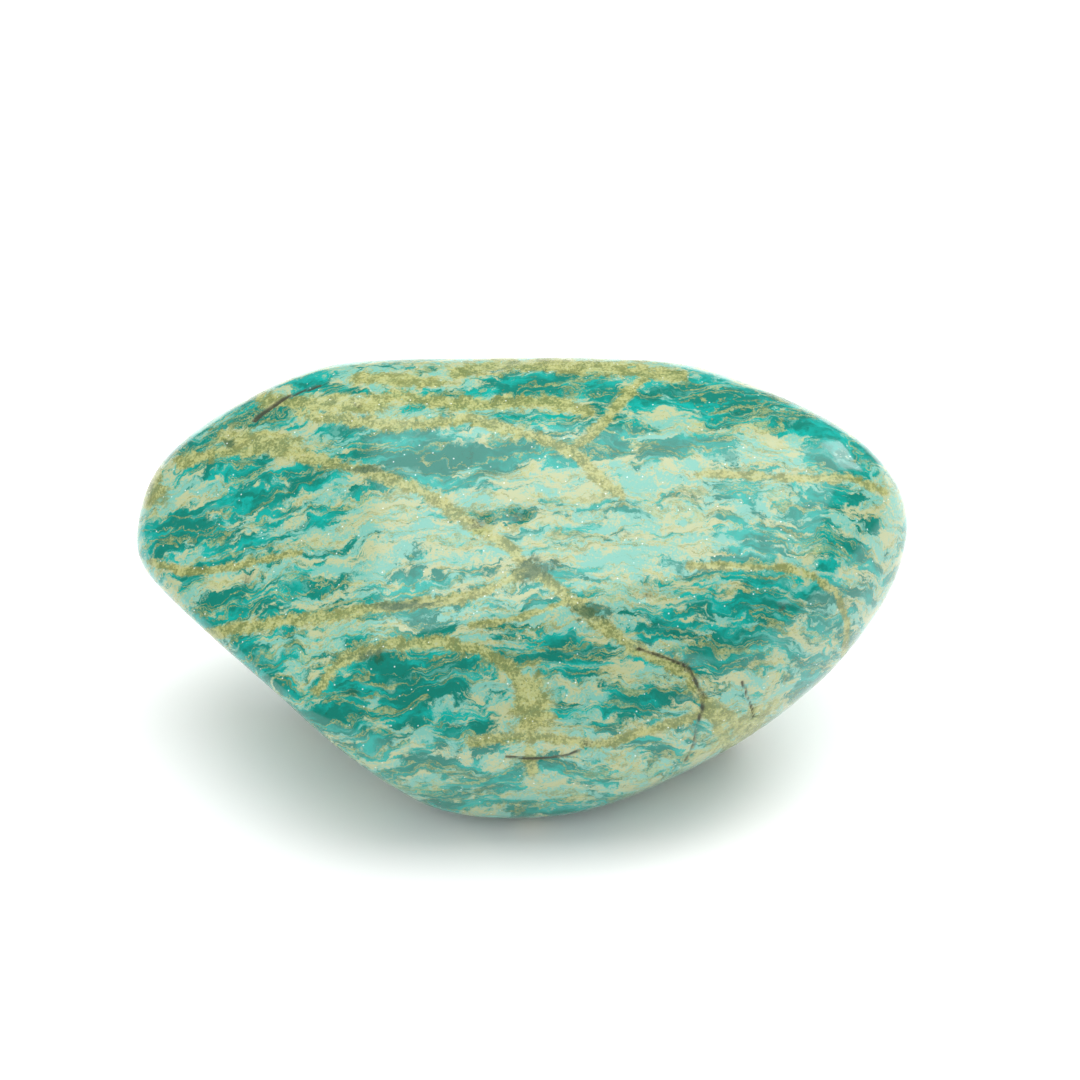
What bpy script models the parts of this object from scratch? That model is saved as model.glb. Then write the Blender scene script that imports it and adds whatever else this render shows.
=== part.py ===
"""A tumbled amazonite pebble: one closed stone that rests on a small flat spot.

Metres, +Z up. The stone lies along X with its narrow tip at -X, and its broad worn face looks
toward -Y and up. The origin is on the ground, under the middle of the stone's box.
"""

import math
from collections import namedtuple

import bmesh
import bpy
import numpy as np
from mathutils import Vector, noise

MM = 0.001

# Driving dimensions
STONE_LENGTH = 48.7 * MM
FLAT_SPOT_CUT = 0.14 * MM
BELLY_RISE = 0.45 * MM
BELLY_RADIUS = 10.0 * MM
WAVE_DEPTH = 0.16 * MM
WAVE_LENGTH = 8.0 * MM
COARSE_STEPS = 5
FINE_EDGE = 0.34 * MM

# Half axes of the egg whose even net of triangles is carried out to the skin
NET_PROPORTIONS = (24.0, 13.0, 10.5)

# The stone is worn by many long flats that run softly into each other. A flat is placed by the
# bearing of its outward side, in degrees round the stone from its +X end toward +Y, by how far that
# side climbs above level, by its distance from the stone's heart, and by how softly it ends, both
# in millimetres.
Flat = namedtuple("Flat", "bearing climb reach rounding")

FLATS = {
    "top edge": Flat(90, 55, 14.5, 0.6),
    "tip shoulder": Flat(134, 46, 18.6, 0.6),
    "tip crown": Flat(160, 26, 24.1, 0.8),
    "tip end": Flat(177, 4, 25.2, 0.7),
    "tip under": Flat(194, -19, 22.9, 0.7),
    "keel to the tip": Flat(215, -39, 15.0, 0.4),
    "keel corner": Flat(241, -51, 15.6, 0.5),
    "keel": Flat(272, -55, 15.8, 0.4),
    "keel to the blunt end": Flat(308, -48, 15.25, 0.8),
    "blunt under": Flat(331, -35, 18.2, 0.8),
    "blunt low": Flat(344, -19, 22.0, 0.8),
    "blunt end": Flat(355, -6, 24.6, 0.8),
    "blunt crown": Flat(12, 16, 25.1, 0.8),
    "blunt shoulder": Flat(30, 35, 21.5, 0.8),
    "top edge to the blunt end": Flat(51, 48, 17.6, 0.6),
    "lower face": Flat(272, 23, 9.3, 0.5),
    "front skirt": Flat(270, -19, 13.3, 0.6),
    "blunt skirt": Flat(299, -13, 15.2, 0.8),
    "broad face": Flat(259, 62, 6.8, 0.5),
    "tip slope": Flat(230, 55, 8.5, 0.9),
    "top face": Flat(212, 88, 9.5, 0.8),
    "blunt slope": Flat(315, 42, 17.0, 0.7),
    "blunt cheek": Flat(321, 11, 19.6, 0.8),
    "tip cheek": Flat(211, 26, 18.2, 0.8),
    "back": Flat(88, 6, 14.7, 0.8),
    "back under": Flat(93, -40, 12.8, 0.8),
    "back under the tip": Flat(146, -38, 20.0, 0.9),
    "back under the blunt end": Flat(35, -38, 17.6, 1.0),
    "ground": Flat(180, -90, 13.1, 0.4),
}

# Bearing and climb of the place under the stone's weight where it touches the ground
FOOT = (65, -79)

# A hollow is a shallow dent, placed by bearing and climb, with its width and depth in millimetres
# and how ragged its rim is, from 0 to 1.
Hollow = namedtuple("Hollow", "bearing climb width depth ragged")

HOLLOWS = {
    "round pit": Hollow(316, 21, 1.0, 0.30, 0.1),
    "rough pit": Hollow(223, 60, 1.7, 0.28, 0.8),
    "rough pit beside it": Hollow(263, 71, 1.9, 0.22, 0.8),
    "tip pit": Hollow(187, 5, 1.2, 0.24, 0.5),
    "crown pit": Hollow(146, 35, 0.9, 0.22, 0.4),
    "skirt pit": Hollow(290, -19, 1.3, 0.26, 0.6),
    "skirt pit beside it": Hollow(302, -20, 0.9, 0.26, 0.4),
    "cheek pit": Hollow(334, 11, 1.3, 0.24, 0.6),
    "crack hole": Hollow(317, 1, 1.1, 0.34, 0.6),
    "crack hole below": Hollow(318, -6, 0.9, 0.32, 0.5),
    "top notch": Hollow(99, 42, 1.9, 0.42, 0.3),
    "wide top notch": Hollow(51, 39, 3.4, 0.50, 0.3),
    "shoulder notch": Hollow(4, 22, 1.6, 0.34, 0.4),
    "keel notch": Hollow(286, -43, 1.5, 0.34, 0.3),
    "back pit": Hollow(70, 12, 1.6, 0.26, 0.7),
    "back pit near the tip": Hollow(133, -6, 1.2, 0.24, 0.6),
    "back pit near the blunt end": Hollow(32, 2, 1.4, 0.24, 0.6),
    "under pit": Hollow(118, -46, 1.5, 0.26, 0.6),
}

# A crack is a narrow groove along a route of (bearing, climb) places. Its breadth is from lip to
# lip, and a crack with a sill has its far side lowered too, fading out over the sill's width.
Crack = namedtuple("Crack", "breadth depth sill route")

CRACKS = {
    "long crack": Crack(0.75, 0.26, 0.0, [(308, 7), (314, 3.5), (317, 1), (318, -6), (316, -13), (316, -25)]),
    "cheek crack": Crack(0.7, 0.22, 0.0, [(325, -3), (326, -7), (330, -15)]),
    "skirt crack": Crack(0.6, 0.18, 0.0, [(266, -22), (274, -23), (283, -22), (288, -20)]),
    "tip shoulder crack": Crack(0.7, 0.22, 0.0, [(155, 20), (150, 24), (144, 29)]),
    "blunt ledge": Crack(0.8, 0.30, 3.0, [(340, 17), (341, 10), (343, 4), (344, 0), (345, -5), (346, -10)]),
    "back crack": Crack(0.7, 0.22, 0.0, [(108, 22), (101, 10), (104, -4), (98, -18), (100, -32)]),
    "back branch": Crack(0.6, 0.18, 0.0, [(104, -4), (90, -8), (78, -16)]),
}


def direction(bearing, climb):
    """Unit vector at a bearing and a climb given in degrees."""
    turn, rise = math.radians(bearing), math.radians(climb)
    level = math.cos(rise)
    return np.array((level * math.cos(turn), level * math.sin(turn), math.sin(rise)))


def smooth_radius(rays):
    """Distance from the heart to the worn skin along each unit ray.

    Each flat adds exp(height above the flat / rounding), and the skin is where the sum is 1.
    """
    rounding = np.array([flat.rounding * MM for flat in FLATS.values()])
    normals = np.array([direction(flat.bearing, flat.climb) for flat in FLATS.values()])
    reach = np.array([flat.reach * MM for flat in FLATS.values()]) / rounding
    slope = rays @ normals.T / rounding
    radius = np.full(len(rays), STONE_LENGTH / 4)
    largest_step = 2 * MM
    for _ in range(40):
        height = slope * radius[:, None] - reach
        highest = height.max(axis=1)
        share = np.exp(height - highest[:, None])
        total = share.sum(axis=1)
        excess = (highest + np.log(total)) * total / (slope * share).sum(axis=1)
        radius -= np.clip(excess, -largest_step, largest_step)
    return radius


def skin_points(rays):
    return rays * smooth_radius(rays)[:, None]


def rays_of(form):
    rays = np.array([vert.co for vert in form.verts])
    return rays / np.linalg.norm(rays, axis=1)[:, None]


def place(bearing, climb):
    """Point of the smooth skin at a bearing and a climb."""
    return skin_points(direction(bearing, climb)[None, :])[0]


def waviness(points, length):
    """Smooth uneven values from -1 to 1 that change over about the given length."""
    return np.array([noise.noise(Vector(point / length)) for point in points])


def from_route(points, route):
    """Distance of each point from a route on the skin, and which side of it the point is on."""
    corners = [place(*stop) for stop in route]
    nearest = np.full(len(points), np.inf)
    side = np.zeros(len(points))
    for start, end in zip(corners, corners[1:]):
        run = end - start
        along = np.clip((points - start) @ run / (run @ run), 0, 1)
        away = points - (start + along[:, None] * run)
        distance = np.linalg.norm(away, axis=1)
        closer = distance < nearest
        across = np.cross(run, start)
        nearest[closer] = distance[closer]
        side[closer] = np.sign(away[closer] @ across)
    return nearest, side


def hollow_sink(points, hollow, rough):
    distance = np.linalg.norm(points - place(hollow.bearing, hollow.climb), axis=1)
    half = hollow.width * MM / 2 * (1 + hollow.ragged * rough)
    fill = np.clip(1 - (distance / half) ** 2, 0, 1)
    return hollow.depth * MM * np.sqrt(fill) * (1 + 0.5 * hollow.ragged * rough)


def crack_sink(points, crack, rough):
    distance, side = from_route(points, crack.route)
    half = crack.breadth * MM / 2 * (1 + 0.4 * rough)
    groove = np.clip(1 - distance / half, 0, 1)
    if not crack.sill:
        return crack.depth * MM * groove * (1 + 0.4 * rough)
    rise = np.clip(distance / half, 0, 1)
    fade = np.exp(-distance / (crack.sill * MM))
    ends = np.minimum(
        np.linalg.norm(points - place(*crack.route[0]), axis=1),
        np.linalg.norm(points - place(*crack.route[-1]), axis=1),
    )
    ease = np.clip(ends / (crack.sill * MM), 0, 1)
    return crack.depth * MM * np.where(side > 0, rise * fade * ease, 0)


def belly_sink(points):
    """The underside domes gently down to the foot, and only there."""
    downward = -points[:, 2] / np.linalg.norm(points, axis=1)
    share = np.clip((downward - 0.72) / 0.2, 0, 1)
    away = np.linalg.norm(points - place(*FOOT), axis=1)
    return BELLY_RISE * share * (away / BELLY_RADIUS) ** 2


def sink_of(points):
    """How far each point of the smooth skin sinks toward the heart."""
    rough = waviness(points, 0.9 * MM)
    broad = waviness(points, WAVE_LENGTH) + 0.5 * waviness(points, WAVE_LENGTH / 2)
    from_foot = np.linalg.norm(points - place(*FOOT), axis=1)
    calm = 1 - np.exp(-(from_foot / BELLY_RADIUS) ** 2)
    sink = WAVE_DEPTH * broad * calm + belly_sink(points)
    dents = np.zeros(len(points))
    for hollow in HOLLOWS.values():
        dents = np.maximum(dents, hollow_sink(points, hollow, rough))
    for crack in CRACKS.values():
        dents = np.maximum(dents, crack_sink(points, crack, rough))
    return sink + dents


def needs_fine_net(points):
    """True where a point lies in or beside a hollow or a crack."""
    near = np.zeros(len(points), bool)
    for hollow in HOLLOWS.values():
        distance = np.linalg.norm(points - place(hollow.bearing, hollow.climb), axis=1)
        near |= distance < 0.62 * hollow.width * MM
    for crack in CRACKS.values():
        near |= from_route(points, crack.route)[0] < 0.7 * crack.breadth * MM
    return near


def refine_near_marks(form):
    """Halves the edges beside hollows and cracks until they are as short as FINE_EDGE."""
    for _ in range(3):
        points = skin_points(rays_of(form))
        ends = np.array([[vert.index for vert in edge.verts] for edge in form.edges])
        lengths = np.linalg.norm(points[ends[:, 0]] - points[ends[:, 1]], axis=1)
        middles = points[ends].mean(axis=1)
        wanted = (lengths > FINE_EDGE) & needs_fine_net(middles)
        if not wanted.any():
            return
        form.edges.ensure_lookup_table()
        edges = [form.edges[index] for index in np.flatnonzero(wanted)]
        bmesh.ops.subdivide_edges(form, edges=edges, cuts=1)
        bmesh.ops.triangulate(form, faces=form.faces)
        form.verts.index_update()


def net_of_rays():
    form = bmesh.new()
    bmesh.ops.create_icosphere(form, subdivisions=COARSE_STEPS, radius=1.0)
    bmesh.ops.scale(form, vec=NET_PROPORTIONS, verts=form.verts)
    form.verts.index_update()
    refine_near_marks(form)
    return form


def cut_flat_spot(form):
    """Levels the worn underside with one small flat face."""
    lowest = min(vert.co.z for vert in form.verts)
    plane = Vector((0, 0, lowest + FLAT_SPOT_CUT))
    everything = form.verts[:] + form.edges[:] + form.faces[:]
    bmesh.ops.bisect_plane(form, geom=everything, plane_co=plane, plane_no=(0, 0, -1), clear_outer=True)
    rim = [edge for edge in form.edges if edge.is_boundary]
    bmesh.ops.holes_fill(form, edges=rim, sides=0)
    bmesh.ops.dissolve_degenerate(form, dist=0.005 * MM, edges=form.edges)
    bmesh.ops.triangulate(form, faces=form.faces)
    bmesh.ops.recalc_face_normals(form, faces=form.faces)


def stand_on_origin(form):
    """Scales to the stated length, then puts the origin under the middle of the box."""
    corners = np.array([vert.co for vert in form.verts])
    low, high = corners.min(axis=0), corners.max(axis=0)
    factor = STONE_LENGTH / (high[0] - low[0])
    middle = Vector(((low[0] + high[0]) / 2, (low[1] + high[1]) / 2, low[2]))
    bmesh.ops.translate(form, vec=-middle, verts=form.verts)
    bmesh.ops.scale(form, vec=(factor, factor, factor), verts=form.verts)
    return middle, factor


def amazonite():
    """Polished blue-green feldspar."""
    material = bpy.data.materials.new("amazonite")
    material.use_nodes = True
    shader = material.node_tree.nodes["Principled BSDF"]
    shader.inputs["Base Color"].default_value = (0.07, 0.37, 0.30, 1.0)
    shader.inputs["Roughness"].default_value = 0.18
    shader.inputs["Metallic"].default_value = 0.0
    shader.inputs["IOR"].default_value = 1.53
    return material


def build_stone():
    form = net_of_rays()
    points = skin_points(rays_of(form))
    sunk = np.linalg.norm(points, axis=1) - sink_of(points)
    for vert, point in zip(form.verts, rays_of(form) * sunk[:, None]):
        vert.co = point
    cut_flat_spot(form)
    stand_on_origin(form)
    mesh = bpy.data.meshes.new("stone")
    form.to_mesh(mesh)
    form.free()
    mesh.shade_smooth()
    mesh.set_sharp_from_angle(angle=math.radians(40))
    mesh.materials.append(amazonite())
    stone = bpy.data.objects.new("stone", mesh)
    bpy.context.scene.collection.objects.link(stone)
    return stone


def clear_scene():
    for obj in list(bpy.data.objects):
        bpy.data.objects.remove(obj)


def main():
    clear_scene()
    build_stone()


main()
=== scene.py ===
"""A tumbled amazonite pebble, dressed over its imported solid, on a pale stage.

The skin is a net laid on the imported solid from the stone's heart, smoothed, and cut with its pits,
its cracks and the slight wear along its veins. Its colours come from the place inside the stone, so
the bands and the veins run through it to the back.
"""

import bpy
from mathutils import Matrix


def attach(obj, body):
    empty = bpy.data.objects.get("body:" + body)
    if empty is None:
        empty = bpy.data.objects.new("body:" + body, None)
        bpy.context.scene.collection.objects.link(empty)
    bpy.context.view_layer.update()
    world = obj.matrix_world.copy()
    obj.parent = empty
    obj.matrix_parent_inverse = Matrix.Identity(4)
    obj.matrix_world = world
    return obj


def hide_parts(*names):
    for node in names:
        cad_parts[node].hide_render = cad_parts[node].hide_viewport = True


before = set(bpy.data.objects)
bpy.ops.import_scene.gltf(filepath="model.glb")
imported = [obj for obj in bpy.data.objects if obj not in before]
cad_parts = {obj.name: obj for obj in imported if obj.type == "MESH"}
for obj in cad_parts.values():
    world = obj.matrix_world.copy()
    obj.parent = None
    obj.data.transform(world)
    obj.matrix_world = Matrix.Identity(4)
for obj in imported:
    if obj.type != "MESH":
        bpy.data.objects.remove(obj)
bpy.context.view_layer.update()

import math
from collections import namedtuple

import bmesh
import bpy
import numpy as np
from bpy.props import FloatProperty, FloatVectorProperty, IntProperty, PointerProperty
from mathutils import Vector
from mathutils.bvhtree import BVHTree

bl_info = {
    "name": "Tumbled amazonite",
    "version": (1, 0, 0),
    "blender": (4, 5, 0),
    "location": "3D View > Sidebar > Amazonite",
    "description": "Dresses the packed stone as polished amazonite and sets its stage",
    "category": "Object",
}

MM = 0.001

# The heart is the place that bearings and climbs are counted from, as in the solid's source
HEART = Vector((0.09, -1.51, 12.95)) * MM

# The axes, size and scale of the picture, and the camera that gives its view
SIGHT_CLIMB = math.radians(35)
RIGHT = Vector((1, 0, 0))
UP = Vector((0, math.sin(SIGHT_CLIMB), math.cos(SIGHT_CLIMB)))
TOWARD = Vector((0, -math.cos(SIGHT_CLIMB), math.sin(SIGHT_CLIMB)))
PICTURE_SIDE = 1080
PIXELS_PER_MM = 16.0
FILM_WIDTH = 36.0
LENS = 135.0
CAMERA_FAR = 253 * MM
CLIP_START = 0.01
AIM = HEART + (1.25 * RIGHT + 2.5 * UP) * MM

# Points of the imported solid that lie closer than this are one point
MERGE_DISTANCE = 0.002 * MM
RAY_LENGTH = 1.0
FEWEST_POINTS = 100

# How far the guide sheets reach from the skin: veins toward and away from the viewer, hidden veins
# from the far side, and cracks as shares of their distance from the heart
VEIN_REACH = (5 * MM, -40 * MM)
HIDDEN_VEIN_REACH = (-2 * MM, 5 * MM)
CRACK_SHARES = (1.08, 0.9)

# Raggedness of the edges of cracks and pits, and the scale of its noise
RAGGED_SCALE = 1.6 / MM
CRACK_RAGGEDNESS = 1.6
PIT_RAGGEDNESS = 1.2

# Inward marks are full in their middle: where the closeness to it reaches these values
VEIN_FULL = 0.6
CRACK_FULL = 1.0
PIT_FULL = 0.7

# The bands rise and fall along the stone: height = steepness x across - bend x across squared
BAND_STEEPNESS = 0.06
BAND_BEND = 0.0065

# A vein is a route through places in the picture, in pixels, with its width in millimetres
Vein = namedtuple("Vein", "width route")

VEINS = {
    "long diagonal": Vein(0.85, [
        (180, 462), (225, 450), (270, 450), (330, 462), (380, 476), (420, 490), (465, 520), (505, 545),
        (530, 568), (560, 592), (592, 618), (630, 645), (685, 672), (705, 700), (735, 722), (770, 735),
    ]),
    "tip to middle": Vein(0.75, [
        (190, 640), (222, 632), (262, 624), (330, 616), (370, 609), (420, 604), (465, 598), (500, 584),
        (528, 568),
    ]),
    "lower arch": Vein(0.8, [
        (318, 690), (332, 668), (352, 655), (392, 645), (440, 641), (482, 650), (512, 668), (528, 700),
        (530, 770),
    ]),
    "upper": Vein(0.9, [
        (262, 398), (310, 404), (350, 404), (400, 396), (440, 402), (490, 405), (540, 400), (590, 412),
    ]),
    "upper middle": Vein(0.8, [
        (300, 415), (400, 425), (470, 418), (510, 430), (545, 440), (575, 452), (600, 480), (618, 492),
    ]),
    "upper branch": Vein(0.7, [(575, 448), (600, 425), (622, 400), (640, 380), (660, 370)]),
    "top rim": Vein(1.0, [(455, 372), (500, 365), (560, 366), (620, 370), (680, 376)]),
    "tip low": Vein(0.5, [(150, 562), (185, 572), (215, 570), (260, 560), (300, 552)]),
    "middle wisp": Vein(0.45, [(470, 626), (520, 618), (560, 604), (585, 600)]),
    "blunt wisp": Vein(0.55, [(700, 474), (730, 474), (790, 478), (850, 478), (885, 492)]),
    "blunt middle wisp": Vein(0.5, [
        (690, 566), (730, 566), (790, 568), (812, 576), (835, 590), (848, 622), (844, 655),
    ]),
    "blunt low": Vein(0.7, [(705, 700), (722, 735), (735, 755)]),
    "keel wisp": Vein(0.6, [(470, 742), (530, 735), (600, 745), (650, 730), (700, 715)]),
    "back band": Vein(0.9, [(200, 500), (380, 520), (560, 470), (760, 500), (880, 560)]),
}
HIDDEN_VEINS = ("back band",)

# A patch is a soft ellipse in the picture: middle and half sizes in pixels, lean in degrees, how far
# it turns the stone to teal (above 0) or to pale (below 0), and how khaki it is. Some patches are
# painted light and shade: highlights, reflections and a shadow, noted where they stand
Patch = namedtuple("Patch", "x y across tall lean tone khaki")

PATCHES = {
    "top block": Patch(545, 388, 80, 14, -3, 1.3, 0),
    "blunt top": Patch(712, 396, 62, 22, -6, 1.4, 0),
    "blunt top tail": Patch(770, 412, 52, 14, -18, 1.0, 0),
    "blunt top low": Patch(725, 420, 24, 14, 0, 0.8, 0),
    "far blunt": Patch(805, 428, 34, 10, -15, 0.8, 0),
    "tip top": Patch(262, 411, 46, 13, -3, 1.1, 0),
    "tip crown": Patch(205, 446, 26, 10, 3, 1.0, 0),
    "upper lens": Patch(340, 428, 30, 7, -3, 1.0, 0),
    "upper lens above": Patch(330, 387, 30, 6, -8, 1.0, 0),
    "upper middle": Patch(450, 458, 62, 24, -4, 1.1, 0),
    "upper middle tail": Patch(385, 452, 42, 13, -12, 1.0, 0),
    "upper middle end": Patch(520, 450, 34, 12, 0, 0.9, 0),
    "small lens": Patch(545, 426, 36, 9, -3, 0.8, 0),
    "blunt middle": Patch(600, 448, 28, 9, 0, 0.8, 0),
    "blunt streak": Patch(672, 446, 46, 8, 4, 1.0, 0),
    "tip upper": Patch(240, 472, 52, 12, -10, 1.0, 0),
    "tip middle": Patch(262, 498, 42, 12, 5, 0.8, 0),
    "tip block": Patch(182, 528, 44, 18, 5, 1.4, 0),
    "tip low block": Patch(262, 602, 60, 15, 8, 1.2, 0),
    "under the tip": Patch(258, 662, 38, 16, -24, 1.1, 0),
    "middle block": Patch(425, 575, 34, 14, 0, 1.0, 0),
    "lower tip": Patch(340, 712, 46, 20, -34, 1.0, 0),
    "lower dark": Patch(400, 688, 42, 22, -15, 1.6, 0),
    "lower middle": Patch(455, 662, 40, 12, 0, 1.1, 0),
    "lower blunt": Patch(560, 655, 46, 16, 0, 1.0, 0),
    "lower blunt small": Patch(632, 700, 34, 10, 5, 0.8, 0),
    "under the diagonal": Patch(708, 650, 32, 11, -5, 1.2, 0),
    "blunt low": Patch(790, 612, 48, 15, -5, 1.0, 0),
    "blunt end": Patch(830, 548, 26, 24, 0, 0.8, 0),
    "blunt patch": Patch(835, 463, 36, 11, -5, 1.2, 0),
    # A painted shadow: a thin band on the blunt end darkened toward teal
    "painted shadow at the blunt end": Patch(745, 556, 52, 6, 3, 0.9, 0),
    "keel": Patch(450, 800, 60, 16, -6, 0.7, 0),
    # The pale middle, pale band, pale broad and pale under patches sit where the overhead softbox is
    # mirrored: their pale is partly the stone's pale net and partly a painted highlight of that softbox
    "pale middle": Patch(560, 490, 62, 13, 0, -1.6, 0.1),
    "pale band": Patch(650, 474, 62, 12, 5, -1.2, 0.1),
    "pale heart": Patch(445, 538, 52, 24, 0, -1.1, 0.1),
    "pale broad": Patch(640, 545, 110, 34, 3, -0.8, 0.1),
    "pale blunt": Patch(775, 452, 42, 13, -5, -1.0, 0.3),
    "pale tip": Patch(335, 532, 52, 24, 5, -0.5, 0),
    "pale under": Patch(560, 610, 62, 9, 6, -0.9, 0.1),
    # The pale that the three rim patches give along the stone's edges is a painted reflection of the bright
    # room
    "top rim": Patch(575, 364, 110, 8, 0, -1.5, 0.6),
    "tip rim": Patch(152, 480, 18, 42, 20, -1.4, 0.9),
    "blunt rim": Patch(890, 510, 14, 54, 0, -0.9, 0.2),
    "lower khaki": Patch(530, 702, 22, 46, 0, -1.2, 0.8),
    "blunt low khaki": Patch(745, 728, 52, 26, 30, -1.0, 0.7),
    "upper khaki": Patch(345, 404, 56, 9, -6, -1.6, 1.0),
    "khaki above": Patch(395, 380, 56, 9, -4, -1.4, 0.9),
    "khaki tip": Patch(262, 440, 58, 12, -4, -1.3, 0.9),
    "keel grain": Patch(600, 725, 52, 26, 0, -0.4, 0.2),
}

# A stain is a green-black place on a vein: middle and half sizes in pixels
Stain = namedtuple("Stain", "x y across tall")

STAINS = {
    "where the veins meet": Stain(535, 568, 22, 14),
    "along the diagonal": Stain(592, 612, 26, 12),
    "along the tip vein": Stain(400, 606, 40, 6),
    "upper diagonal": Stain(362, 470, 34, 5),
    "lower lens": Stain(380, 656, 26, 8),
    "under the lens": Stain(345, 690, 16, 6),
    "tip notch": Stain(226, 442, 12, 7),
}

# Pits and cracks are placed by bearing and climb, as in the solid: width and depth in millimetres
Pit = namedtuple("Pit", "bearing climb width depth")

PITS = {
    "round pit": Pit(316, 21, 0.95, 0.16),
    "rough pit": Pit(223, 60, 1.7, 0.10),
    "rough pit beside it": Pit(263, 71, 1.9, 0.08),
    "tip pit": Pit(187, 5, 1.2, 0.10),
    "crown pit": Pit(146, 35, 0.8, 0.12),
    "skirt pit": Pit(290, -19, 1.2, 0.12),
    "skirt pit beside it": Pit(302, -20, 0.8, 0.12),
    "cheek pit": Pit(334, 11, 1.2, 0.10),
    "crack hole": Pit(317, 1, 1.0, 0.20),
    "crack hole below": Pit(318, -6, 0.9, 0.20),
    "back pit": Pit(70, 12, 1.4, 0.12),
    "back pit near the tip": Pit(133, -6, 1.1, 0.12),
    "back pit near the blunt end": Pit(32, 2, 1.2, 0.12),
}

Crack = namedtuple("Crack", "width depth route")

CRACKS = {
    "long crack": Crack(0.36, 0.16, [(308, 7), (314, 3.5), (317, 1), (318, -6), (316, -13), (316, -25)]),
    "cheek crack": Crack(0.30, 0.12, [(325, -3), (326, -7), (330, -15)]),
    "skirt crack": Crack(0.28, 0.10, [(266, -22), (274, -23), (283, -22), (288, -20)]),
    "tip shoulder crack": Crack(0.34, 0.12, [(155, 20), (150, 24), (144, 29)]),
    "back crack": Crack(0.34, 0.12, [(108, 22), (101, 10), (104, -4), (98, -18), (100, -32)]),
    "back branch": Crack(0.28, 0.10, [(104, -4), (90, -8), (78, -16)]),
}

# A lamp is a softbox placed from the heart: bearing and climb in degrees, distance and sides in metres
Lamp = namedtuple("Lamp", "bearing climb far sides glossy")

LAMPS = {
    "overhead": Lamp(90, 86, 0.5, (0.55, 0.42), True),
    "key": Lamp(42, 46, 0.9, (0.45, 0.45), True),
    "fill": Lamp(250, 40, 0.7, (0.5, 0.3), False),
}


def length_property(name, description, default):
    """Length that a user can change, in metres."""
    return FloatProperty(name=name, description=description, default=default, unit="LENGTH", precision=6)


def strength_property(name, description, default):
    """Strength of a light that a user can change."""
    return FloatProperty(name=name, description=description, default=default, min=0)


def colour_property(name, description, default):
    """Colour that a user can change."""
    return FloatVectorProperty(
        name=name, description=description, default=default, subtype="COLOR", min=0, max=1
    )


class StoneSizes(bpy.types.PropertyGroup):
    """Sizes of the stone's skin and of its relief."""

    cells: IntProperty(
        name="Net cells",
        description="Cells along each side of the skin's net",
        default=124,
        min=16,
        max=127,
    )
    smoothing: IntProperty(
        name="Smoothing",
        description="Rounds of smoothing over the solid's faces",
        default=16,
        min=0,
    )
    net_proportions: FloatVectorProperty(
        name="Net proportions",
        description="Half axes of the egg whose directions the net follows",
        default=(24.0, 13.0, 10.5),
        subtype="XYZ",
    )
    wave_height: length_property("Wave height", "Depth of the worn skin's soft waves", 0.035 * MM)
    wave_length: length_property("Wave length", "Length of the soft waves", 2.6 * MM)
    vein_recess: length_property("Vein recess", "How far the softer veins are worn down", 0.03 * MM)


class StoneColours(bpy.types.PropertyGroup):
    """Colours of the mineral."""

    deep: colour_property("Deep teal", "Densest patches", (0.0, 0.155, 0.115))
    turquoise: colour_property("Turquoise", "Bright patches", (0.0, 0.32, 0.27))
    aqua: colour_property("Pale aqua", "Pale blue-green network", (0.15, 0.40, 0.33))
    cream: colour_property("Cream", "Pale grains", (0.37, 0.41, 0.23))
    khaki: colour_property("Khaki", "Light part of the veins", (0.39, 0.40, 0.14))
    olive: colour_property("Olive", "Dark part of the veins", (0.15, 0.18, 0.045))
    stain: colour_property("Stain", "Green-black stains", (0.006, 0.075, 0.04))
    # Colour that makes the pits and cracks darker
    pit_and_crack_dark: colour_property("Pit and crack dark", "Colour that darkens the pits and cracks", (0.03, 0.035, 0.015))
    # Colour of the small painted sparkle highlights
    painted_glint: colour_property("Painted glint", "Small painted sparkle highlights", (0.85, 0.95, 0.92))


class StageSizes(bpy.types.PropertyGroup):
    """Sizes and strengths of the stage."""

    floor_side: length_property("Floor side", "Length of the square floor's side", 4.0)
    floor_colour: colour_property("Floor colour", "Colour of the floor", (0.92, 0.92, 0.92))
    overhead: strength_property("Overhead light", "Radiance of the softbox above", 2.3)
    key: strength_property("Key light", "Radiance of the softbox on the far right", 5.5)
    fill: strength_property("Fill light", "Radiance of the weak softbox in front", 0.5)
    room: strength_property("Room light", "Strength of the light from all round", 1.0)
    backdrop: strength_property("Backdrop", "Strength of the room that the camera sees", 1.15)
    room_gloss: FloatProperty(
        name="Room gloss",
        description="Share of the room's light that shows in reflections",
        subtype="FACTOR",
        default=0.2,
        min=0,
        max=1,
    )


# Sockets of the Mix node that are for colours, found by number because their names repeat
MIX_FIRST = 6
MIX_SECOND = 7
MIX_RESULT = 2


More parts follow.
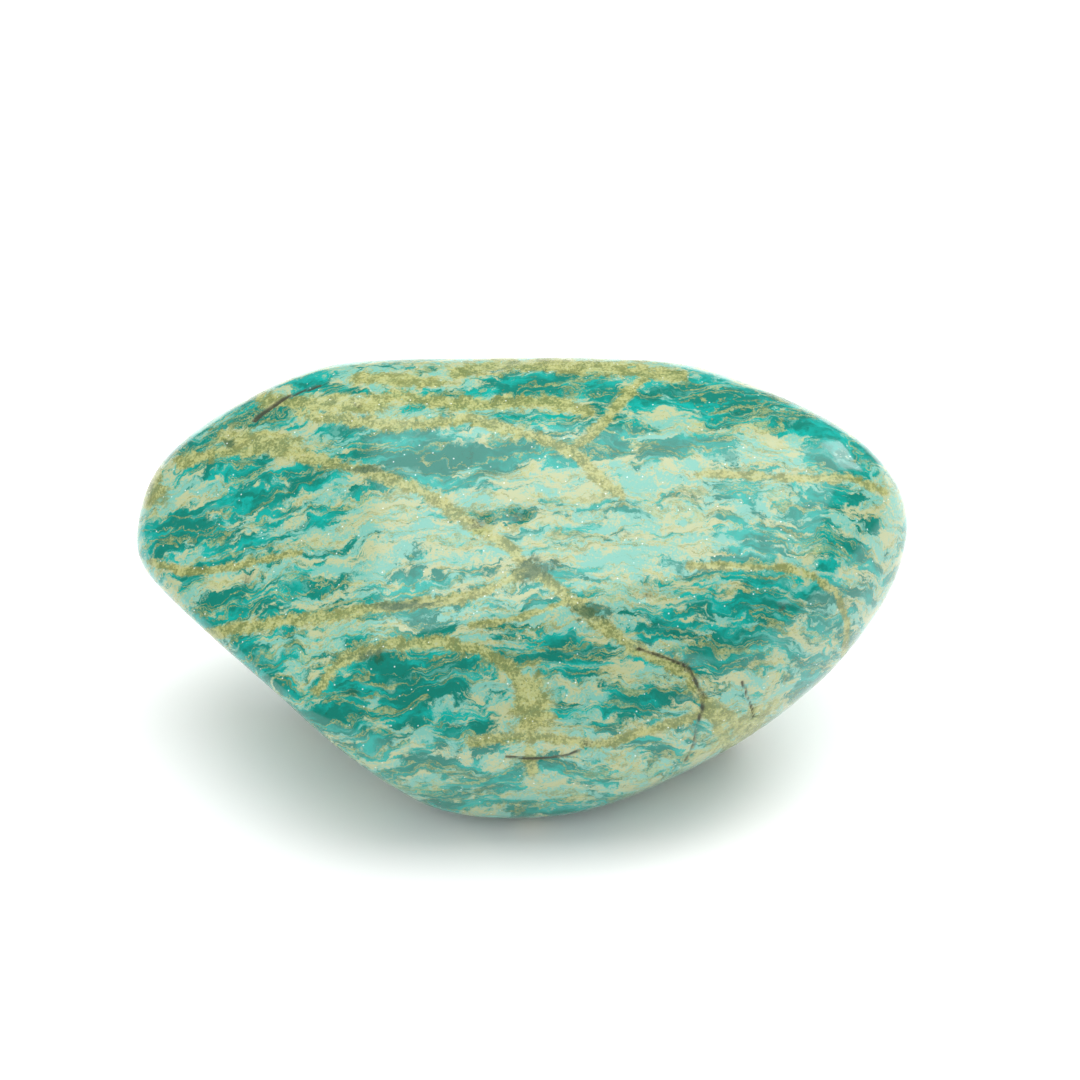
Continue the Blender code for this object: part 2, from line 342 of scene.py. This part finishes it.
class Wiring:
    """Adds nodes to one tree. An input is given as a plain value or as another node's socket."""

    COLUMN_STEP = 210
    ROW_STEP = 300
    COLUMNS = 14

    def __init__(self, tree):
        self.tree = tree

    def node(self, kind, inputs=None, **settings):
        """New node with its settings made before its inputs are fed."""
        node = self.tree.nodes.new(kind)
        row, column = divmod(len(self.tree.nodes), self.COLUMNS)
        node.location = (self.COLUMN_STEP * column, -self.ROW_STEP * row)
        for name, value in settings.items():
            setattr(node, name, value)
        for key, value in (inputs or {}).items():
            self.feed(node.inputs[key], value)
        return node

    def feed(self, socket, value):
        """Links the socket, or sets it where the value is plain."""
        if isinstance(value, bpy.types.NodeSocket):
            self.tree.links.new(value, socket)
        else:
            socket.default_value = value

    def math(self, operation, first, second=0.0):
        """One step of arithmetic on numbers."""
        return self.node("ShaderNodeMath", {0: first, 1: second}, operation=operation).outputs[0]

    def vector(self, operation, first, second=(0, 0, 0)):
        """One step of arithmetic on vectors."""
        node = self.node("ShaderNodeVectorMath", {0: first, 1: second}, operation=operation)
        return node.outputs["Vector"]

    def scaled(self, vector, factor):
        """Vector times a number."""
        inputs = {"Vector": vector, "Scale": factor}
        return self.node("ShaderNodeVectorMath", inputs, operation="SCALE").outputs["Vector"]

    def centred(self, value):
        """Noise value moved so that it lies about 0."""
        return self.math("SUBTRACT", value, 0.5)

    def added(self, value, extra, weight):
        """Value with a weighted extra on top."""
        return self.math("ADD", value, self.math("MULTIPLY", extra, weight))

    def away_from(self, value, level):
        """How far a value is from a level, either way."""
        return self.math("ABSOLUTE", self.math("SUBTRACT", value, level))

    def noise_node(self, place, scale, detail, roughness, distortion):
        """Noise texture at a place."""
        inputs = {
            "Vector": place,
            "Scale": scale,
            "Detail": detail,
            "Roughness": roughness,
            "Distortion": distortion,
        }
        return self.node("ShaderNodeTexNoise", inputs)

    def noise(self, place, scale, detail=4.0, roughness=0.6, distortion=0.0):
        """Noise from 0 to 1."""
        return self.noise_node(place, scale, detail, roughness, distortion).outputs["Fac"]

    def warp(self, place, scale, detail, reach):
        """Vector noise about 0 that pushes a pattern out of place by up to about half its reach."""
        colour = self.noise_node(place, scale, detail, 0.6, 0.0).outputs["Color"]
        return self.scaled(self.vector("SUBTRACT", colour, (0.5, 0.5, 0.5)), reach)

    def ramp(self, value, low, high, start=0.0, end=1.0):
        """Eases from start to end while the value goes from low to high."""
        inputs = {"Value": value, "From Min": low, "From Max": high, "To Min": start, "To Max": end}
        node = self.node("ShaderNodeMapRange", inputs, interpolation_type="SMOOTHSTEP")
        return node.outputs["Result"]

    def mix(self, share, first, second):
        """Colour that goes from first to second as the share goes from 0 to 1."""
        inputs = {"Factor": share, MIX_FIRST: first, MIX_SECOND: second}
        return self.node("ShaderNodeMix", inputs, data_type="RGBA").outputs[MIX_RESULT]


def rgba(colour):
    """Opaque colour with four channels."""
    return (*colour, 1.0)


def direction(bearing, climb):
    """Unit vector at a bearing from +X and a climb from the floor, in degrees."""
    turn = math.radians(bearing)
    rise = math.radians(climb)
    flat = math.cos(rise)
    return Vector((flat * math.cos(turn), flat * math.sin(turn), math.sin(rise)))


def merged_solid():
    """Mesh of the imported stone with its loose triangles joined."""
    form = bmesh.new()
    form.from_mesh(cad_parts["stone"].data)
    bmesh.ops.remove_doubles(form, verts=form.verts, dist=MERGE_DISTANCE)
    mesh = bpy.data.meshes.new("solid")
    form.to_mesh(mesh)
    form.free()
    return mesh


def ray_target(mesh):
    """Form of the mesh that rays can be cast on."""
    corners = [vert.co for vert in mesh.vertices]
    return BVHTree.FromPolygons(corners, [face.vertices for face in mesh.polygons])


def seen_place(solid, x, y, hidden=False):
    """Place on the stone under a pixel of the picture, or the far side's place behind that pixel.

    A pixel that misses the stone gives the place at the heart's distance from the camera.
    """
    per_pixel = FILM_WIDTH / LENS / PICTURE_SIDE
    middle = PICTURE_SIDE / 2
    look = (-TOWARD + RIGHT * (x - middle) * per_pixel - UP * (y - middle) * per_pixel).normalized()
    start = AIM + TOWARD * CAMERA_FAR
    if hidden:
        start = start + look * 2 * CAMERA_FAR
        look = -look
    hit = solid.ray_cast(start, look)[0]
    if hit is None:
        reach = (HEART - start).dot(TOWARD) / look.dot(TOWARD)
        hit = start + look * reach
    return hit


def worn_place(solid, bearing, climb):
    """Place on the stone at a bearing and a climb from its heart."""
    return solid.ray_cast(HEART, direction(bearing, climb))[0]


def guide(name, points, faces, half_widths, depths):
    """Helper object whose points carry a half width and a depth for the skin's node tree."""
    mesh = bpy.data.meshes.new(name)
    mesh.from_pydata(points, [], faces)
    for key, numbers in (("half_width", half_widths), ("depth", depths)):
        mesh.attributes.new(key, "FLOAT", "POINT").data.foreach_set("value", numbers)
    helper = bpy.data.objects.new(name, mesh)
    bpy.context.scene.collection.objects.link(helper)
    return helper


def sheets(name, lines):
    """Guide made of sheets, each swept between the two places of every pair along its line."""
    points, faces, half_widths, depths = [], [], [], []
    for pairs, width, depth in lines:
        first = len(points)
        for pair in pairs:
            points += pair
            half_widths += [width * MM / 2] * 2
            depths += [depth * MM] * 2
        for step in range(len(pairs) - 1):
            corner = first + 2 * step
            faces.append((corner, corner + 1, corner + 3, corner + 2))
    return guide(name, points, faces, half_widths, depths)


def vein_sheets(solid):
    """Guide of the veins, which run through the stone away from the viewer."""
    lines = []
    for name, vein in VEINS.items():
        hidden = name in HIDDEN_VEINS
        front, back = HIDDEN_VEIN_REACH if hidden else VEIN_REACH
        places = [seen_place(solid, x, y, hidden) for x, y in vein.route]
        pairs = [(spot + TOWARD * front, spot + TOWARD * back) for spot in places]
        lines.append((pairs, vein.width, 0))
    return sheets("veins", lines)


def crack_sheets(solid):
    """Guide of the cracks, which stand on the skin."""
    outer, inner = CRACK_SHARES
    lines = []
    for crack in CRACKS.values():
        places = [worn_place(solid, *stop) for stop in crack.route]
        pairs = [(HEART + (spot - HEART) * outer, HEART + (spot - HEART) * inner) for spot in places]
        lines.append((pairs, crack.width, crack.depth))
    return sheets("cracks", lines)


def pit_points(solid):
    """Guide of the pits, one point for each."""
    places = [worn_place(solid, pit.bearing, pit.climb) for pit in PITS.values()]
    half_widths = [pit.width * MM / 2 for pit in PITS.values()]
    depths = [pit.depth * MM for pit in PITS.values()]
    return guide("pits", places, [], half_widths, depths)


def guide_form(wiring, guide_object):
    """Geometry of a guide inside the skin's node tree."""
    return wiring.node("GeometryNodeObjectInfo", {"Object": guide_object}).outputs["Geometry"]


def named_value(wiring, name):
    """Value that a guide's points carry."""
    inputs = {"Name": name}
    node = wiring.node("GeometryNodeInputNamedAttribute", inputs, data_type="FLOAT")
    return node.outputs["Attribute"]


def closeness(wiring, form, place, target, half_width):
    """1 on a mark's middle, 0 at its edge and below 0 beyond it."""
    inputs = {"Geometry": form, "Sample Position": place}
    distance = wiring.node("GeometryNodeProximity", inputs, target_element=target).outputs["Distance"]
    return wiring.math("SUBTRACT", 1.0, wiring.math("DIVIDE", distance, half_width))


def near_sheet(wiring, form, place):
    """Closeness to the nearest sheet, and that sheet's depth."""
    found = {}
    for name in ("half_width", "depth"):
        inputs = {"Mesh": form, "Value": named_value(wiring, name), "Sample Position": place}
        node = wiring.node("GeometryNodeSampleNearestSurface", inputs, data_type="FLOAT")
        found[name] = node.outputs["Value"]
    return closeness(wiring, form, place, "FACES", found["half_width"]), found["depth"]


def near_point(wiring, form, place):
    """Closeness to the nearest pit, and that pit's depth."""
    nearest = wiring.node("GeometryNodeSampleNearest", {"Geometry": form, "Sample Position": place})
    found = {}
    for name in ("half_width", "depth"):
        inputs = {
            "Geometry": form,
            "Value": named_value(wiring, name),
            "Index": nearest.outputs["Index"],
        }
        node = wiring.node("GeometryNodeSampleIndex", inputs, data_type="FLOAT")
        found[name] = node.outputs["Value"]
    return closeness(wiring, form, place, "POINTS", found["half_width"]), found["depth"]


def laid_net(wiring, given, place):
    """Cube net pushed out from the heart onto the solid in even steps, then smoothed."""
    side = wiring.math("ADD", given["Net Cells"], 1.0)
    inputs = {"Size": (2, 2, 2), "Vertices X": side, "Vertices Y": side, "Vertices Z": side}
    cube = wiring.node("GeometryNodeMeshCube", inputs).outputs["Mesh"]
    eighth_turn = math.pi / 4
    ball = wiring.vector("NORMALIZE", wiring.vector("TANGENT", wiring.scaled(place, eighth_turn)))
    ray = wiring.vector("NORMALIZE", wiring.vector("MULTIPLY", ball, given["Net Proportions"]))
    inputs = {
        "Target Geometry": given["Solid"],
        "Source Position": given["Heart"],
        "Ray Direction": ray,
        "Ray Length": RAY_LENGTH,
    }
    hit = wiring.node("GeometryNodeRaycast", inputs).outputs["Hit Position"]
    laid = wiring.node("GeometryNodeSetPosition", {"Geometry": cube, "Position": hit})
    blur = wiring.node("GeometryNodeBlurAttribute", data_type="FLOAT_VECTOR")
    blurred = [socket for socket in blur.inputs if socket.enabled and socket.name == "Value"][0]
    even = [socket for socket in blur.outputs if socket.enabled][0]
    wiring.feed(blurred, place)
    wiring.feed(blur.inputs["Iterations"], given["Smoothing"])
    inputs = {"Geometry": laid.outputs["Geometry"], "Position": even}
    return wiring.node("GeometryNodeSetPosition", inputs).outputs["Geometry"]


TREE_INPUTS = (
    ("Solid", "NodeSocketGeometry"),
    ("Heart", "NodeSocketVector"),
    ("Net Cells", "NodeSocketInt"),
    ("Net Proportions", "NodeSocketVector"),
    ("Smoothing", "NodeSocketInt"),
    ("Wave Height", "NodeSocketFloat"),
    ("Wave Length", "NodeSocketFloat"),
    ("Vein Recess", "NodeSocketFloat"),
    ("Veins", "NodeSocketObject"),
    ("Cracks", "NodeSocketObject"),
    ("Pits", "NodeSocketObject"),
    ("Material", "NodeSocketMaterial"),
)


def skin_nodes():
    """Node tree that lays an even net on the solid, smooths it and cuts pits, cracks and veins."""
    tree = bpy.data.node_groups.new("Worn stone skin", "GeometryNodeTree")
    for name, kind in TREE_INPUTS:
        tree.interface.new_socket(name, in_out="INPUT", socket_type=kind)
    tree.interface.new_socket("Skin", in_out="OUTPUT", socket_type="NodeSocketGeometry")
    wiring = Wiring(tree)
    given = wiring.node("NodeGroupInput").outputs
    place = wiring.node("GeometryNodeInputPosition").outputs["Position"]
    form = laid_net(wiring, given, place)

    vein, _ = near_sheet(wiring, guide_form(wiring, given["Veins"]), place)
    crack, crack_depth = near_sheet(wiring, guide_form(wiring, given["Cracks"]), place)
    pit, pit_depth = near_point(wiring, guide_form(wiring, given["Pits"]), place)
    ragged = wiring.centred(wiring.noise(place, RAGGED_SCALE, detail=3.0))
    crack = wiring.added(crack, ragged, CRACK_RAGGEDNESS)
    pit = wiring.added(pit, ragged, PIT_RAGGEDNESS)

    wave_scale = wiring.math("DIVIDE", 1.0, given["Wave Length"])
    sink = wiring.math("MULTIPLY", wiring.noise(place, wave_scale, detail=2.0), given["Wave Height"])
    sink = wiring.added(sink, wiring.ramp(vein, 0.0, VEIN_FULL), given["Vein Recess"])
    sink = wiring.added(sink, wiring.ramp(crack, 0.0, CRACK_FULL), crack_depth)
    sink = wiring.added(sink, wiring.ramp(pit, 0.0, PIT_FULL), pit_depth)
    normal = wiring.node("GeometryNodeInputNormal").outputs["Normal"]
    inward = wiring.scaled(normal, wiring.math("MULTIPLY", sink, -1.0))

    # The marks are kept on the points before these move, because the material reads them too
    for name, value in (("vein", vein), ("crack", crack), ("pit", pit)):
        inputs = {"Geometry": form, "Name": name, "Value": value}
        node = wiring.node("GeometryNodeStoreNamedAttribute", inputs, data_type="FLOAT", domain="POINT")
        form = node.outputs["Geometry"]
    finishing = (
        ("GeometryNodeSetPosition", {"Offset": inward}),
        ("GeometryNodeSetShadeSmooth", {}),
        ("GeometryNodeRealizeInstances", {}),
        ("GeometryNodeSetMaterial", {"Material": given["Material"]}),
    )
    for kind, inputs in finishing:
        form = wiring.node(kind, {"Geometry": form, **inputs}).outputs["Geometry"]
    wiring.node("NodeGroupOutput", {"Skin": form})
    return tree


def picture_axes(points):
    """Places about the heart along the picture's right, its up and toward the viewer, in mm."""
    axes = np.array([RIGHT, UP, TOWARD])
    return (points - np.array(HEART)) @ axes.T / MM


def spread(seen, middle, across, tall, lean):
    """Share of a soft ellipse at each seen place. It fades with depth as it does across."""
    away = (seen - middle) * PIXELS_PER_MM
    turn = math.radians(lean)
    along = away[:, 0] * math.cos(turn) + away[:, 1] * math.sin(turn)
    over = away[:, 1] * math.cos(turn) - away[:, 0] * math.sin(turn)
    deep = away[:, 2] / (across + tall)
    return np.exp(-((along / across) ** 2 + (over / tall) ** 2 + deep**2))


def paint(mesh, solid):
    """Writes the tone, khaki and stain of every point of the skin."""
    points = np.zeros(len(mesh.vertices) * 3)
    mesh.vertices.foreach_get("co", points)
    seen = picture_axes(points.reshape(-1, 3))
    layers = {name: np.zeros(len(seen)) for name in ("tone", "khaki", "stain")}
    for patch in PATCHES.values():
        middle = picture_axes(np.array(seen_place(solid, patch.x, patch.y)))
        share = spread(seen, middle, patch.across, patch.tall, patch.lean)
        layers["tone"] += patch.tone * share
        layers["khaki"] += patch.khaki * share
    for stain in STAINS.values():
        middle = picture_axes(np.array(seen_place(solid, stain.x, stain.y)))
        layers["stain"] += spread(seen, middle, stain.across, stain.tall, lean=0)
    for name, values in layers.items():
        mesh.attributes.new(name, "FLOAT", "POINT").data.foreach_set("value", values)


def layer(wiring, name):
    """Value that the skin's points carry, in a material."""
    return wiring.node("ShaderNodeAttribute", attribute_name=name).outputs["Fac"]


Places = namedtuple("Places", "seen fabric bands streaks")


def stone_places(wiring):
    """Coordinates in millimetres about the heart: as seen, bent along the bands, and stretched."""
    shift = tuple(-HEART.dot(axis) / MM for axis in (RIGHT, UP, TOWARD))
    inputs = {
        "Vector": wiring.node("ShaderNodeTexCoord").outputs["Object"],
        "Location": shift,
        "Rotation": (SIGHT_CLIMB - math.pi / 2, 0, 0),
        "Scale": (1 / MM, 1 / MM, 1 / MM),
    }
    seen = wiring.node("ShaderNodeMapping", inputs).outputs["Vector"]
    bent = wiring.vector("ADD", seen, wiring.warp(seen, scale=0.28, detail=2.0, reach=3.2))
    bent = wiring.vector("ADD", bent, wiring.warp(seen, scale=1.5, detail=3.0, reach=0.9))

    # The bands rise toward the blunt end on the tip's side and fall on the other
    across, height, depth = wiring.node("ShaderNodeSeparateXYZ", {0: bent}).outputs
    slope = wiring.math("SUBTRACT", wiring.math("MULTIPLY", across, BAND_BEND), BAND_STEEPNESS)
    height = wiring.added(height, across, slope)
    fabric = wiring.node("ShaderNodeCombineXYZ", {0: across, 1: height, 2: depth}).outputs[0]
    bands = wiring.vector("MULTIPLY", fabric, (0.40, 1.30, 0.6))
    streaks = wiring.vector("MULTIPLY", fabric, (0.16, 1.7, 0.35))
    return Places(seen, fabric, bands, streaks)


Grains = namedtuple("Grains", "fine fleck shade vein")


def stone_grains(wiring, places):
    """Noises that more than one part of the colour uses."""
    fine = wiring.noise(places.seen, 6.5, detail=2.0, roughness=0.7)
    fleck = wiring.noise(places.bands, 2.4, roughness=0.65, distortion=0.4)
    shade = wiring.noise(places.bands, 0.8, detail=3.0)
    vein = wiring.noise(places.fabric, 1.1, detail=5.0, roughness=0.75)
    return Grains(fine, fleck, shade, wiring.centred(vein))


def patch_colours(wiring, colours, places, grains):
    """Ragged teal patches in the pale net."""
    share = wiring.noise(places.bands, 0.62, detail=5.0, roughness=0.62, distortion=0.3)
    share = wiring.added(share, layer(wiring, "tone"), 0.13)
    share = wiring.added(share, wiring.centred(grains.fleck), 0.42)
    bright_to_deep = wiring.ramp(grains.shade, 0.35, 0.62)
    teal = wiring.mix(bright_to_deep, rgba(colours.turquoise), rgba(colours.deep))
    teal = wiring.mix(wiring.ramp(share, 0.56, 0.74), teal, rgba(colours.deep))
    soft = wiring.noise(places.streaks, 1.3)
    teal = wiring.mix(wiring.ramp(soft, 0.56, 0.74, end=0.55), teal, rgba(colours.aqua))
    creaminess = wiring.added(wiring.noise(places.bands, 1.0), wiring.centred(grains.fine), 0.5)
    pale = wiring.mix(wiring.ramp(creaminess, 0.42, 0.60), rgba(colours.aqua), rgba(colours.cream))
    return wiring.mix(wiring.ramp(share, 0.45, 0.54), pale, teal)


def vein_share(wiring, places, grains):
    """Where the stone is vein: khaki zones, thin wisps and the ragged veins themselves."""
    ragged = wiring.noise(places.bands, 1.7, detail=5.0, roughness=0.65)
    zones = wiring.added(wiring.math("MULTIPLY", layer(wiring, "khaki"), 0.42), ragged, 0.7)
    curl = wiring.noise(places.streaks, 0.5, detail=5.0, distortion=0.6)
    wisps = wiring.ramp(wiring.away_from(curl, 0.5), 0.0, 0.028, start=0.75, end=0.0)
    veins = wiring.added(layer(wiring, "vein"), grains.vein, 4.2)
    share = wiring.math("MAXIMUM", wiring.ramp(zones, 0.46, 0.60), wisps)
    return wiring.math("MAXIMUM", share, wiring.ramp(veins, -0.3, 0.4))


def vein_colours(wiring, colours, places, grains):
    """Khaki grains with olive and cream ones among them."""
    tint = wiring.noise(places.seen, 1.1, roughness=0.7)
    tint = wiring.added(tint, wiring.centred(grains.fine), 0.8)
    khaki = wiring.mix(wiring.ramp(tint, 0.38, 0.62), rgba(colours.khaki), rgba(colours.olive))
    return wiring.mix(wiring.ramp(tint, 0.25, 0.42, start=0.8, end=0.0), khaki, rgba(colours.cream))


def small_marks(wiring, colours, places, grains, colour):
    """Colour with its stains, dark hairlines and painted sparkle highlights."""
    level = wiring.added(layer(wiring, "stain"), grains.vein, 2.6)
    colour = wiring.mix(wiring.ramp(level, 0.4, 0.9, end=0.75), colour, rgba(colours.stain))
    curl = wiring.noise(places.streaks, 1.1, detail=3.0, roughness=0.5)
    hairs = wiring.ramp(wiring.away_from(curl, 0.47), 0.0, 0.008, start=0.7, end=0.0)
    hairs = wiring.math("MULTIPLY", hairs, wiring.ramp(grains.shade, 0.5, 0.6))
    colour = wiring.mix(hairs, colour, rgba(colours.stain))
    # The small bright spots at the middles of these cells are painted sparkle highlights
    cell = wiring.node("ShaderNodeTexVoronoi", {"Vector": places.seen, "Scale": 1.5})
    painted_glints = wiring.ramp(cell.outputs["Distance"], 0.04, 0.10, start=0.6, end=0.0)
    return wiring.mix(painted_glints, colour, rgba(colours.painted_glint))


def pit_and_crack_darkening(wiring, grains):
    """Where the pits and cracks are made darker."""
    cracks = wiring.ramp(layer(wiring, "crack"), 0.1, 0.8, end=0.9)
    level = wiring.added(layer(wiring, "pit"), wiring.centred(grains.fine), 2.0)
    return wiring.math("MAXIMUM", cracks, wiring.ramp(level, 0.2, 1.1, end=0.5))


def amazonite(colours):
    """Polished amazonite: ragged teal patches in a pale grainy net, crossed by olive veins."""
    material = bpy.data.materials.new("amazonite")
    material.use_nodes = True
    shader = material.node_tree.nodes["Principled BSDF"]
    wiring = Wiring(material.node_tree)
    places = stone_places(wiring)
    grains = stone_grains(wiring, places)
    veins = vein_share(wiring, places, grains)
    pit_and_crack_dark = pit_and_crack_darkening(wiring, grains)

    colour = patch_colours(wiring, colours, places, grains)
    vein_colour = vein_colours(wiring, colours, places, grains)
    colour = wiring.mix(wiring.math("MULTIPLY", veins, 0.9), colour, vein_colour)
    colour = small_marks(wiring, colours, places, grains, colour)
    wiring.feed(shader.inputs["Base Color"], wiring.mix(pit_and_crack_dark, colour, rgba(colours.pit_and_crack_dark)))

    # The polish is duller on the grainy veins and dullest in the darkened pits and cracks
    roughness = wiring.ramp(grains.fine, 0.3, 0.7, start=0.10, end=0.17)
    roughness = wiring.added(roughness, veins, 0.14)
    roughness = wiring.added(roughness, pit_and_crack_dark, 0.4)
    wiring.feed(shader.inputs["Roughness"], roughness)
    shader.inputs["IOR"].default_value = 1.53

    rise = wiring.math("MULTIPLY", grains.fleck, 0.25)
    rise = wiring.added(rise, wiring.math("MULTIPLY", grains.fine, veins), 0.6)
    bump = wiring.node("ShaderNodeBump", {"Strength": 0.35, "Distance": 0.06 * MM, "Height": rise})
    wiring.feed(shader.inputs["Normal"], bump.outputs["Normal"])
    return material


def grown_skin(context, base, given):
    """Plain mesh that the skin's node tree makes of the base object."""
    tree = skin_nodes()
    modifier = base.modifiers.new("Skin", "NODES")
    modifier.node_group = tree
    for item in tree.interface.items_tree:
        if item.name in given:
            modifier[item.identifier] = given[item.name]
    context.view_layer.update()
    drawn = base.evaluated_get(context.evaluated_depsgraph_get())
    skin = bpy.data.meshes.new_from_object(drawn)
    base.modifiers.remove(modifier)
    bpy.data.node_groups.remove(tree)
    if len(skin.vertices) < FEWEST_POINTS:
        raise RuntimeError("the skin's node tree made no mesh")

    # Set Material leaves an empty slot before its own
    skin.materials.clear()
    skin.materials.append(given["Material"])
    skin.polygons.foreach_set("material_index", [0] * len(skin.polygons))
    return skin


def remove_helper(helper):
    """Takes a helper object and its mesh out of the file."""
    mesh = helper.data
    bpy.data.objects.remove(helper)
    bpy.data.meshes.remove(mesh)


class AMAZONITE_OT_stone(bpy.types.Operator):
    """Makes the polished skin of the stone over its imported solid."""

    bl_idname = "amazonite.stone"
    bl_label = "Make the stone"

    def execute(self, context):
        """Grows the skin, paints it and gives it to the body."""
        sizes = context.scene.amazonite_sizes
        mesh = merged_solid()
        solid = ray_target(mesh)
        base = bpy.data.objects.new("stone_base", mesh)
        context.scene.collection.objects.link(base)
        guides = {"Veins": vein_sheets(solid), "Cracks": crack_sheets(solid), "Pits": pit_points(solid)}
        given = {
            "Heart": HEART[:],
            "Net Cells": sizes.cells,
            "Net Proportions": sizes.net_proportions[:],
            "Smoothing": sizes.smoothing,
            "Wave Height": sizes.wave_height,
            "Wave Length": sizes.wave_length,
            "Vein Recess": sizes.vein_recess,
            "Material": amazonite(context.scene.amazonite_colours),
            **guides,
        }
        skin = grown_skin(context, base, given)
        for helper in (base, *guides.values()):
            remove_helper(helper)
        paint(skin, solid)
        skin.name = "amazonite_skin"
        stone = bpy.data.objects.new("amazonite_stone", skin)
        context.scene.collection.objects.link(stone)
        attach(stone, "root")
        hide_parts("stone")
        return {"FINISHED"}


def make_floor(settings):
    """Square pale floor without gloss."""
    half = settings.floor_side / 2
    corners = [(-half, -half, 0), (half, -half, 0), (half, half, 0), (-half, half, 0)]
    mesh = bpy.data.meshes.new("floor")
    mesh.from_pydata(corners, [], [(0, 1, 2, 3)])
    floor = bpy.data.objects.new("floor", mesh)
    bpy.context.scene.collection.objects.link(floor)
    material = bpy.data.materials.new("pale_floor")
    material.use_nodes = True
    shader = material.node_tree.nodes["Principled BSDF"]
    shader.inputs["Base Color"].default_value = rgba(settings.floor_colour)
    shader.inputs["Roughness"].default_value = 0.9
    shader.inputs["Specular IOR Level"].default_value = 0.0
    mesh.materials.append(material)


def make_lamp(name, lamp, radiance):
    """Softbox that faces the heart."""
    data = bpy.data.lights.new(name, "AREA")
    data.shape = "RECTANGLE"
    data.size, data.size_y = lamp.sides
    data.energy = radiance * math.pi * data.size * data.size_y
    away = direction(lamp.bearing, lamp.climb)
    softbox = bpy.data.objects.new(name, data)
    softbox.location = HEART + away * lamp.far
    softbox.rotation_euler = away.to_track_quat("Z", "Y").to_euler()
    softbox.visible_glossy = lamp.glossy
    bpy.context.scene.collection.objects.link(softbox)


def make_room(settings):
    """Even white room, with its own strength for what the camera sees and for reflections."""
    world = bpy.data.worlds.new("room")
    world.use_nodes = True
    wiring = Wiring(world.node_tree)
    background = world.node_tree.nodes["Background"]
    background.inputs["Color"].default_value = rgba((1, 1, 1))
    path = wiring.node("ShaderNodeLightPath").outputs
    seen = wiring.ramp(path["Is Camera Ray"], 0.0, 1.0, start=settings.room, end=settings.backdrop)
    mirrored = wiring.ramp(path["Is Glossy Ray"], 0.0, 1.0, start=1.0, end=settings.room_gloss)
    wiring.feed(background.inputs["Strength"], wiring.math("MULTIPLY", seen, mirrored))
    bpy.context.scene.world = world


def make_camera():
    """Camera with the picture's view."""
    data = bpy.data.cameras.new("camera")
    data.lens = LENS
    data.sensor_width = FILM_WIDTH
    data.clip_start = CLIP_START
    data.dof.use_dof = False
    camera = bpy.data.objects.new("camera", data)
    camera.location = AIM + TOWARD * CAMERA_FAR
    camera.rotation_euler = TOWARD.to_track_quat("Z", "Y").to_euler()
    bpy.context.scene.collection.objects.link(camera)
    bpy.context.scene.camera = camera


class AMAZONITE_OT_stage(bpy.types.Operator):
    """Sets the pale floor, the soft lights and the camera."""

    bl_idname = "amazonite.stage"
    bl_label = "Set the stage"

    def execute(self, context):
        """Makes the stage from its settings."""
        settings = context.scene.amazonite_stage
        make_floor(settings)
        for name, lamp in LAMPS.items():
            make_lamp(name, lamp, getattr(settings, name))
        make_room(settings)
        make_camera()
        context.scene.view_settings.view_transform = "Standard"
        return {"FINISHED"}


class AMAZONITE_PT_panel(bpy.types.Panel):
    """Lists the sizes, the colours and the operators."""

    bl_label = "Tumbled amazonite"
    bl_idname = "AMAZONITE_PT_panel"
    bl_space_type = "VIEW_3D"
    bl_region_type = "UI"
    bl_category = "Amazonite"

    def draw(self, context):
        """Draws a box for the stone and one for the stage."""
        scene = context.scene
        boxes = (
            (AMAZONITE_OT_stone, (scene.amazonite_sizes, scene.amazonite_colours)),
            (AMAZONITE_OT_stage, (scene.amazonite_stage,)),
        )
        for operator, groups in boxes:
            box = self.layout.box()
            for group in groups:
                for name in type(group).__annotations__:
                    box.prop(group, name)
            box.operator(operator.bl_idname)


CLASSES = (StoneSizes, StoneColours, StageSizes, AMAZONITE_OT_stone, AMAZONITE_OT_stage, AMAZONITE_PT_panel)


def register():
    """Registers the classes and hangs the property groups on the scene."""
    for item in CLASSES:
        bpy.utils.register_class(item)
    bpy.types.Scene.amazonite_sizes = PointerProperty(type=StoneSizes)
    bpy.types.Scene.amazonite_colours = PointerProperty(type=StoneColours)
    bpy.types.Scene.amazonite_stage = PointerProperty(type=StageSizes)


def unregister():
    """Takes back what register did."""
    del bpy.types.Scene.amazonite_sizes
    del bpy.types.Scene.amazonite_colours
    del bpy.types.Scene.amazonite_stage
    for item in reversed(CLASSES):
        bpy.utils.unregister_class(item)


def main():
    """Makes the stone and its stage."""
    register()
    bpy.ops.amazonite.stone()
    bpy.ops.amazonite.stage()


if __name__ == "__main__":
    main()
